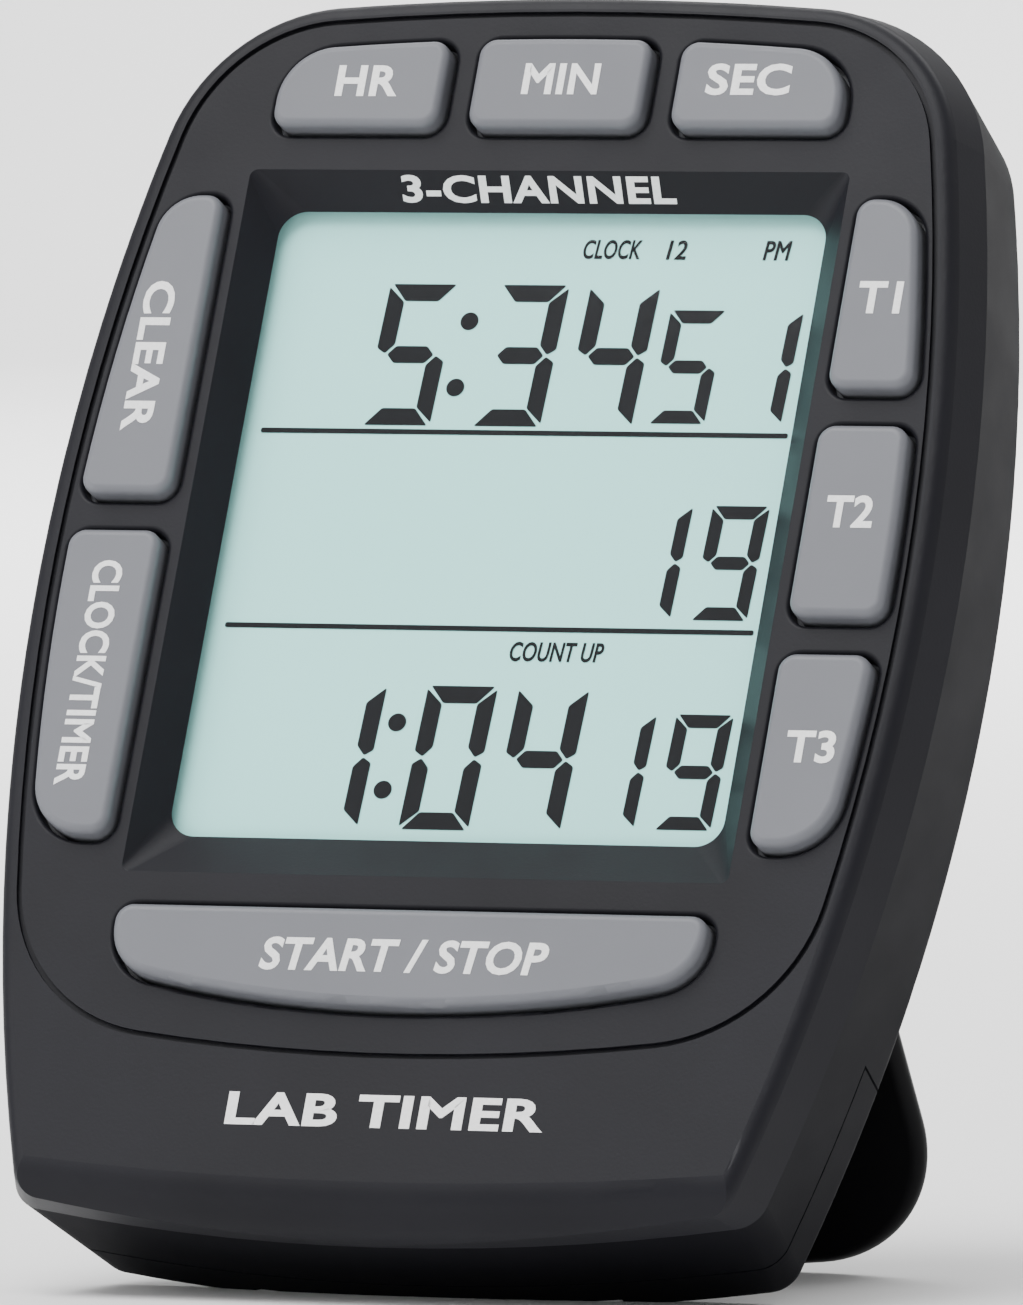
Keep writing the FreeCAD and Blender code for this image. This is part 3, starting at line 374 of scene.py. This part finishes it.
# Words, capital height, width, and place across and up from the middle of the window.
KEY_WORDS = {
    "key_hours": ("HR", 2.4, 4.8, -14.66, 32.8),
    "key_minutes": ("MIN", 2.4, 5.8, 0.2, 33.0),
    "key_seconds": ("SEC", 2.45, 6.4, 14.54, 33.0),
    "key_t1": ("T1", 2.45, 3.3, 27.3, 16.3),
    "key_t2": ("T2", 2.45, 3.6, 27.8, 0.0),
    "key_t3": ("T3", 2.45, 3.7, 27.9, -17.75),
    "key_clear": ("CLEAR", 2.4, 11.6, -27.7, 11.3),
    "key_clock_timer": ("CLOCK/TIMER", 2.3, 17.2, -27.75, -13.1),
    "key_start_stop": ("START / STOP", 2.5, 21.7, 0.2, -34.05),
}
READ_DOWN_KEYS = ("key_clear", "key_clock_timer")
START_SLANT = 0.12


def key_legends():
    """Print each key's legend on its top; it rides with the key."""
    for key, (words, height, width, x, up) in KEY_WORDS.items():
        turn = READ_DOWN if key in READ_DOWN_KEYS else 0.0
        lay = face_frame(x, up, KEY_TOP + LEGEND_SUNK, turn)
        slant = START_SLANT if key == "key_start_stop" else 0.0
        lettering("legend_" + key[4:], words, height, width, lay, key, slant=slant)


# Slope over the window: its run, its foot above the window's middle, in mm, and how far up it
# the word stands, as a share of the run.
SLOPE_RUN = 2.3
SLOPE_FOOT_UP = 24.06
WORD_UP_SLOPE = 0.56
SLOPE_LIP = 0.05
# Capital height, width, and place across, in mm; the chin word also has its place up.
SURROUND_WORD = (2.1, 21.0, -1.0)
CHIN_WORD = (2.45, 24.0, 0.4, -45.25)


def case_words():
    """The word on the slope over the window, and the word on the chin."""
    drop = LENS_FRONT / MM - SLOPE_LIP
    tip = math.atan2(drop, SLOPE_RUN)
    height, width, x = SURROUND_WORD
    lay = face_frame(x, SLOPE_FOOT_UP + SLOPE_RUN * WORD_UP_SLOPE,
                     drop * (1 - WORD_UP_SLOPE) * MM + LEGEND_SUNK, 0.0, tip)
    lettering("surround_word", "3-CHANNEL", height, width, lay, "case")
    height, width, x, up = CHIN_WORD
    lay = face_frame(x, up, LEGEND_SUNK)
    lettering("chin_word", "LAB TIMER", height, width, lay, "case")


# ---------------------------------------------------------------- display

INK_T = 0.03 * MM
INK_DEPTH = GLASS_FRONT - 0.02 * MM
LIT = {"0": "abcdef", "1": "bc", "3": "abcdg", "4": "bcfg", "5": "acdfg", "9": "abcdfg"}
# Lean of the digits, as across for each step up.
LEAN_OVER = 0.035


class Digit:
    """One seven-segment digit: its left foot, width, height and stroke, in mm."""

    def __init__(self, x, up, width, height, stroke):
        self.x, self.up, self.width, self.height, self.stroke = x, up, width, height, stroke

    def point(self, across, up):
        return (self.x + across + LEAN_OVER * up, self.up + up)

    def segment(self, letter):
        """Corners of one segment, cut at 45 degrees where it meets its neighbours."""
        w, h, t = self.width, self.height, self.stroke
        gap = t * 0.12
        half = h / 2
        flat = [(gap * 1.5, 0), (w - gap * 1.5, 0), (w - t - gap * 0.5, t), (t + gap * 0.5, t)]
        tall = [(0, gap * 1.5), (t, t + gap * 0.5), (t, half - t / 2 - gap), (t / 2, half - gap / 2),
                (0, half - t / 2 + gap)]
        bar = [(t * 0.55 + gap, half), (t + gap, half + t / 2), (w - t - gap, half + t / 2),
               (w - t * 0.55 - gap, half), (w - t - gap, half - t / 2), (t + gap, half - t / 2)]
        turned = {
            "d": flat,
            "a": [(x, h - y) for x, y in flat],
            "e": tall,
            "f": [(x, h - y) for x, y in tall],
            "c": [(w - x, y) for x, y in tall],
            "b": [(w - x, h - y) for x, y in tall],
            "g": bar,
        }
        return [self.point(x, y) for x, y in turned[letter]]


def ink_patch(form, corners):
    """Flat patch of ink with a little thickness and softened corners."""
    verts = [form.verts.new(on_face(x, up, INK_DEPTH)) for x, up in corners]
    face = form.faces.new(verts)
    grown = bmesh.ops.extrude_face_region(form, geom=[face])
    raised = [g for g in grown["geom"] if isinstance(g, bmesh.types.BMVert)]
    bmesh.ops.translate(form, verts=raised, vec=OUTWARD * INK_T)
    upright = [e for e in form.edges if e.is_valid
               and len(set(e.verts) & set(verts)) == 1 and len(set(e.verts) & set(raised)) == 1]
    bmesh.ops.bevel(form, geom=upright, offset=INK_CORNER_R * MM, offset_type="OFFSET", segments=3,
                    profile=0.5, affect="EDGES", clamp_overlap=True, material=-1)


def ink_dot(form, x, up, radius):
    lay = face_frame(x, up, INK_DEPTH - INK_T / 2)
    bmesh.ops.create_cone(form, cap_ends=True, segments=32, radius1=radius * MM,
                          radius2=radius * MM, depth=INK_T, matrix=lay)


# Feet of the three rows, and the digits' sizes and places, in mm from the middle of the window.
ROW_FEET = {"top": 8.0, "middle": -6.6, "bottom": -22.8}
BIG = {"width": 5.3, "height": 10.9, "stroke": 1.3}
SMALL = {"width": 4.3, "height": 8.7, "stroke": 1.0}
BIG_X = (-12.4, -3.95, 3.0)
SMALL_X = (9.5, 15.3)
SMALL_LIFT = 0.35
COLON_X = -5.75
COLON_R = 0.68
COLON_SHARES = (0.27, 0.74)
RULE_UPS = (7.5, -7.5)
RULE_HALF = 0.19
RULE_LEFT, RULE_RIGHT = -20.0, 20.3
INK_CORNER_R = 0.14


def display_figures():
    """All the lit segments, colons and rules of the display, as one piece."""
    form = bmesh.new()
    rows = (("top", "534", "51"), ("middle", "", "19"), ("bottom", "104", "19"))
    for row, large, small in rows:
        foot = ROW_FEET[row]
        cells = [(x, foot, BIG, figure) for x, figure in zip(BIG_X, large)]
        lift = SMALL_LIFT if large else 0.0
        cells += [(x, foot + lift, SMALL, figure) for x, figure in zip(SMALL_X, small)]
        for x, up, size, figure in cells:
            digit = Digit(x, up, **size)
            for letter in LIT[figure]:
                ink_patch(form, digit.segment(letter))
        if large:
            for share in COLON_SHARES:
                rise = BIG["height"] * share
                ink_dot(form, COLON_X + LEAN_OVER * rise, foot + rise, COLON_R)
    for up in RULE_UPS:
        low, high = up - RULE_HALF, up + RULE_HALF
        ink_patch(form, [(RULE_LEFT, low), (RULE_RIGHT, low), (RULE_RIGHT, high), (RULE_LEFT, high)])
    tidy(form)
    mesh = bpy.data.meshes.new("display_figures")
    form.to_mesh(mesh)
    form.free()
    add_piece("display_figures", mesh, SEGMENT_BLACK, "case")


# Name, words, width, and place across and up from the middle of the window.
DISPLAY_WORDS = (("word_clock", "CLOCK", 4.4, 4.5, 21.7),
                 ("word_twelve", "12", 1.5, 9.45, 21.7),
                 ("word_pm", "PM", 2.05, 17.1, 21.7),
                 ("word_count_up", "COUNT UP", 7.1, 5.7, -9.2))
DISPLAY_WORD_H = 1.5
DISPLAY_WORD_WEIGHT = 0.02
DISPLAY_WORD_SLANT = 0.12


def display_words():
    for name, words, width, x, up in DISPLAY_WORDS:
        lettering(name, words, DISPLAY_WORD_H, width, face_frame(x, up, INK_DEPTH), "case",
                  SEGMENT_BLACK, DISPLAY_WORD_WEIGHT, DISPLAY_WORD_SLANT, INK_T)


# ---------------------------------------------------------------- studio

def sweep_floor():
    """Pale floor that curves up into a backdrop far behind."""
    form = bmesh.new()
    bmesh.ops.create_grid(form, x_segments=1, y_segments=1, size=1.5)
    back = [v for v in form.verts if v.co.y > 0]
    bmesh.ops.translate(form, verts=back, vec=Vector((0, 1.0, 0)))
    edge = [e for e in form.edges if all(v in back for v in e.verts)]
    bmesh.ops.spin(form, geom=edge + back, cent=(0, 2.5, 0.8), axis=(1, 0, 0), dvec=(0, 0, 0),
                   angle=math.radians(80), steps=24, use_merge=False)
    mesh = bpy.data.meshes.new("studio_floor")
    form.to_mesh(mesh)
    form.free()
    for polygon in mesh.polygons:
        polygon.use_smooth = True
    finish, tree, shader = new_finish("pale_paper")
    wash = object_noise(tree, 3.0, 2.0)
    tree.links.new(two_tones(tree, wash, (0.95, 0.95, 0.95), (0.97, 0.97, 0.97)),
                   shader.inputs["Base Color"])
    shader.inputs["Roughness"].default_value = 0.8
    mesh.materials.append(finish)
    floor = bpy.data.objects.new("studio_floor", mesh)
    bpy.context.scene.collection.objects.link(floor)


def soft_light(name, place, size, power, aim):
    lamp = bpy.data.lights.new(name, "AREA")
    lamp.shape = "RECTANGLE"
    lamp.size, lamp.size_y = size
    lamp.energy = power
    light = bpy.data.objects.new(name, lamp)
    light.location = place
    light.rotation_euler = (aim - Vector(place)).to_track_quat("-Z", "Y").to_euler()
    bpy.context.scene.collection.objects.link(light)


def light_studio():
    aim = window_middle
    soft_light("overhead_box", (-0.25, -0.35, 0.95), (0.9, 0.7), 14.5, aim)
    soft_light("left_box", (-0.9, -0.7, 0.35), (0.5, 0.9), 5.5, aim)
    soft_light("right_strip", (0.9, -0.1, 0.35), (0.25, 0.9), 0.55, aim)
    soft_light("backdrop_wash", (0, 1.3, 1.6), (2.4, 0.8), 140.0, Vector((0, 2.6, 0.1)))
    world = bpy.data.worlds.new("studio_white")
    world.use_nodes = True
    world.node_tree.nodes["Background"].inputs["Color"].default_value = (1, 1, 1, 1)
    world.node_tree.nodes["Background"].inputs["Strength"].default_value = 0.6
    bpy.context.scene.world = world


# Turn and rise of the view, and its distance from the timer in metres.
VIEW_TURN = math.radians(22.86)
VIEW_RISE = math.radians(2.24)
VIEW_AWAY = 1.3
IMAGE_W = 1023
# Steps of the image width to a millimetre, at the point aimed at.
VIEW_SCALE = 14.211
# Point aimed at, across and up in the view from the middle of the window, in mm.
AIM_X, AIM_UP = 0.74, -8.76
SENSOR_W = 36.0
FAR_CLIP = 20.0


def set_camera():
    forward = Vector((-math.sin(VIEW_TURN) * math.cos(VIEW_RISE),
                      math.cos(VIEW_TURN) * math.cos(VIEW_RISE), -math.sin(VIEW_RISE)))
    right = Vector((math.cos(VIEW_TURN), math.sin(VIEW_TURN), 0))
    up = right.cross(forward)
    camera = bpy.data.cameras.new("camera")
    camera.sensor_fit = "HORIZONTAL"
    camera.sensor_width = SENSOR_W
    camera.lens = VIEW_SCALE / MM * VIEW_AWAY / IMAGE_W * SENSOR_W
    camera.clip_end = FAR_CLIP
    eye = bpy.data.objects.new("camera", camera)
    target = window_middle + right * AIM_X * MM + up * AIM_UP * MM
    turn = Matrix((right, up, -forward)).transposed()
    eye.matrix_world = Matrix.Translation(target - forward * VIEW_AWAY) @ turn.to_4x4()
    bpy.context.scene.collection.objects.link(eye)
    bpy.context.scene.camera = eye


# ---------------------------------------------------------------- the whole timer

set_camera()
dress_cad_nodes()
key_legends()
case_words()
display_figures()
display_words()
sweep_floor()
light_studio()
